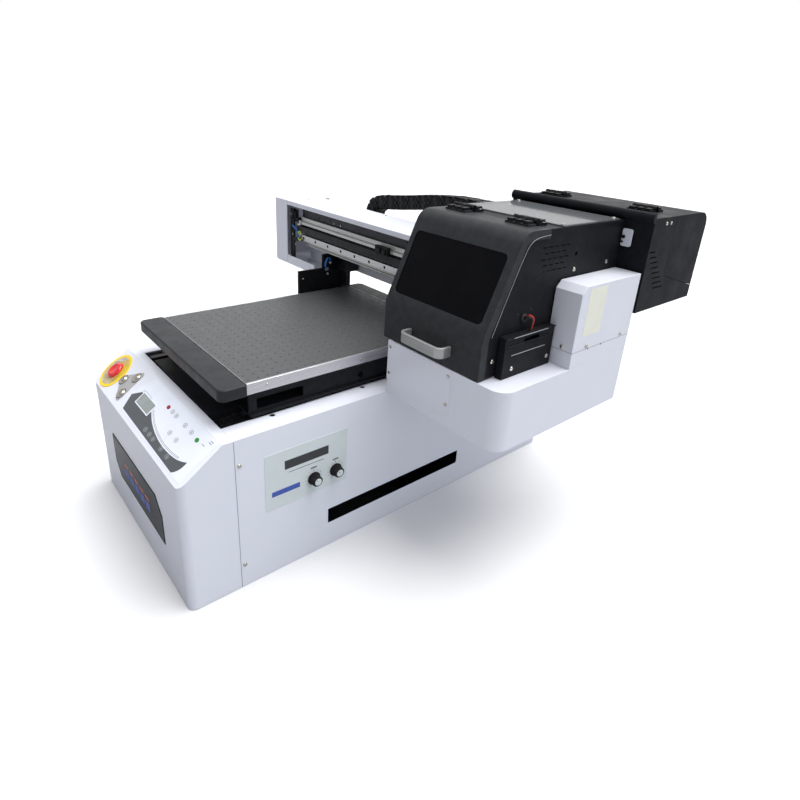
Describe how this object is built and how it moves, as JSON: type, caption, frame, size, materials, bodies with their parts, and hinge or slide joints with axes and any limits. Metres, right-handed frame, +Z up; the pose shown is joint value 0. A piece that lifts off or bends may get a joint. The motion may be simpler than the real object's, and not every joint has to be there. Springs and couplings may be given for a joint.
{
  "type": "flatbed uv printer",
  "caption": "Desktop flatbed ultraviolet printer: perforated table sliding through a lifting gantry, hooded print carriage, ink cabinet and sloped control panel.",
  "frame": {"origin": "centre of the base's underside", "axes": "+Z up; +Y from the sloped control panel to the rear, along the table's travel; +X to the right, towards the hood, for someone facing the control panel"},
  "size_m": [1, 1.051, 0.711],
  "materials": {
    "white_paint": "gloss",
    "black_paint": "satin",
    "table_black": "fine textured",
    "cap_black": "satin",
    "brushed": "brushed",
    "steel": "ground",
    "black_plastic": "matt",
    "dark_window": "gloss",
    "smoke": "gloss",
    "label_white": "satin",
    "label_grey": "satin",
    "stop_red": "gloss",
    "stop_yellow": "satin",
    "button_metal": "satin",
    "plate_grey": "satin",
    "belt_rubber": "matt",
    "board_green": "satin",
    "bottle": "satin"
  },
  "bodies": {
    "base": {"base_pan": "white_paint", "left_panel": "white_paint", "right_panel": "white_paint", "front_cover": "white_paint", "control_label": "label_white", "estop_collar": "stop_yellow", "button_plate": "plate_grey", "front_badge": "dark_window", "side_label": "label_grey", "slot_cover": "black_plastic", "deck_plate": "black_paint", "rail_beams": "brushed", "guide_rails": "steel", "stepper_motors": "black_plastic", "electronics": "board_green", "power_inlet": "black_plastic", "side_plates": "black_paint"},
    "y_screw": {"y_screw": "steel"},
    "lift_screw_left": {"lift_screw_left": "steel"},
    "lift_screw_right": {"lift_screw_right": "steel"},
    "estop_press": {"estop_stem": "steel"},
    "estop_turn": {"estop_head": "stop_red"},
    "button_1": {"push_button_1": "button_metal"},
    "button_2": {"push_button_2": "button_metal"},
    "button_3": {"push_button_3": "button_metal"},
    "dial_1": {"knob_1": "black_plastic"},
    "dial_2": {"knob_2": "black_plastic"},
    "table": {"table_plate": "table_black", "table_trims": "brushed", "front_cap": "cap_black", "rear_cap": "cap_black", "table_frame": "black_paint", "y_blocks": "steel"},
    "gantry": {"beam": "brushed", "x_rail": "steel", "x_belt": "belt_rubber", "end_cap": "white_paint", "top_cover": "white_paint", "lower_housing": "white_paint", "lift_nuts": "steel", "x_motor": "black_plastic", "tray": "white_paint", "tray_front_plate": "white_paint", "column_cover": "white_paint", "hood_body": "black_paint", "smoke_lid": "smoke", "bracket_box": "black_paint", "ink_cabinet": "black_paint", "ink_bottles": "bottle", "capping_station": "black_plastic", "drag_chain": "black_plastic"},
    "drive_wheel": {"drive_pulley": "brushed"},
    "idler_wheel": {"idler_pulley": "brushed"},
    "carriage": {"carriage_frame": "black_paint", "print_heads": "steel", "uv_lamp": "brushed"},
    "front_door": {"door_shell": "black_paint", "door_window": "dark_window", "door_handle": "brushed"},
    "ink_lid": {"cabinet_lid": "black_paint"}
  },
  "joints": [
    {"name": "table_slide", "type": "slide", "parent": "base", "child": "table", "axis": [0, 1, 0], "range_m": [-0.17, 0.34]},
    {"name": "y_screw_spin", "type": "hinge", "parent": "base", "child": "y_screw", "pos_m": [0, 0, 0.276], "axis": [0, 1, 0], "range_deg": [-4050, 7875]},
    {"name": "gantry_lift", "type": "slide", "parent": "base", "child": "gantry", "axis": [0, 0, 1], "range_m": [0, 0.1]},
    {"name": "lift_screw_left_spin", "type": "hinge", "parent": "base", "child": "lift_screw_left", "pos_m": [-0.216, 0.168, 0.3], "axis": [0, 0, 1], "range_deg": [0, 9360]},
    {"name": "lift_screw_right_spin", "type": "hinge", "parent": "base", "child": "lift_screw_right", "pos_m": [0.216, 0.168, 0.3], "axis": [0, 0, 1], "range_deg": [0, 9360]},
    {"name": "carriage_slide", "type": "slide", "parent": "gantry", "child": "carriage", "axis": [1, 0, 0], "range_m": [-0.55, 0], "deforming": ["drag_chain"]},
    {"name": "drive_wheel_spin", "type": "hinge", "parent": "gantry", "child": "drive_wheel", "pos_m": [0.462, 0.096, 0.54], "axis": [0, 0, 1], "range_deg": [-10, 4400]},
    {"name": "idler_wheel_spin", "type": "hinge", "parent": "gantry", "child": "idler_wheel", "pos_m": [-0.352, 0.096, 0.54], "axis": [0, 0, 1], "range_deg": [-10, 4400]},
    {"name": "front_door_hinge", "type": "hinge", "parent": "gantry", "child": "front_door", "pos_m": [0.361, 0.077, 0.697], "axis": [-1, 0, 0], "range_deg": [0, 80]},
    {"name": "ink_lid_hinge", "type": "hinge", "parent": "gantry", "child": "ink_lid", "pos_m": [0.376, 0.408, 0.706], "axis": [1, 0, 0], "range_deg": [0, 75]},
    {"name": "estop_push", "type": "slide", "parent": "base", "child": "estop_press", "axis": [0, 0.6, -0.8], "range_m": [0, 0.005], "stiffness_N_per_m": 800},
    {"name": "estop_release", "type": "hinge", "parent": "estop_press", "child": "estop_turn", "pos_m": [-0.207, -0.4616, 0.2938], "axis": [0, -0.6, 0.8], "range_deg": [0, 45], "stiffness_Nm_per_rad": 0.1},
    {"name": "button_1_push", "type": "slide", "parent": "base", "child": "button_1", "axis": [0, 0.6, -0.8], "range_m": [0, 0.002], "stiffness_N_per_m": 500},
    {"name": "button_2_push", "type": "slide", "parent": "base", "child": "button_2", "axis": [0, 0.6, -0.8], "range_m": [0, 0.002], "stiffness_N_per_m": 500},
    {"name": "button_3_push", "type": "slide", "parent": "base", "child": "button_3", "axis": [0, 0.6, -0.8], "range_m": [0, 0.002], "stiffness_N_per_m": 500},
    {"name": "dial_1_turn", "type": "hinge", "parent": "base", "child": "dial_1", "pos_m": [0.25, -0.241, 0.185], "axis": [1, 0, 0], "range_deg": [-150, 150]},
    {"name": "dial_2_turn", "type": "hinge", "parent": "base", "child": "dial_2", "pos_m": [0.25, -0.19, 0.185], "axis": [1, 0, 0], "range_deg": [-150, 150]}
  ],
  "couplings": [
    {"joint": "y_screw_spin", "follows": "table_slide", "rad_per_m": 392.7},
    {"joint": "lift_screw_left_spin", "follows": "gantry_lift", "rad_per_m": 1570.8},
    {"joint": "lift_screw_right_spin", "follows": "gantry_lift", "rad_per_m": 1570.8},
    {"joint": "drive_wheel_spin", "follows": "carriage_slide", "rad_per_m": -133.33},
    {"joint": "idler_wheel_spin", "follows": "carriage_slide", "rad_per_m": -133.33}
  ]
}
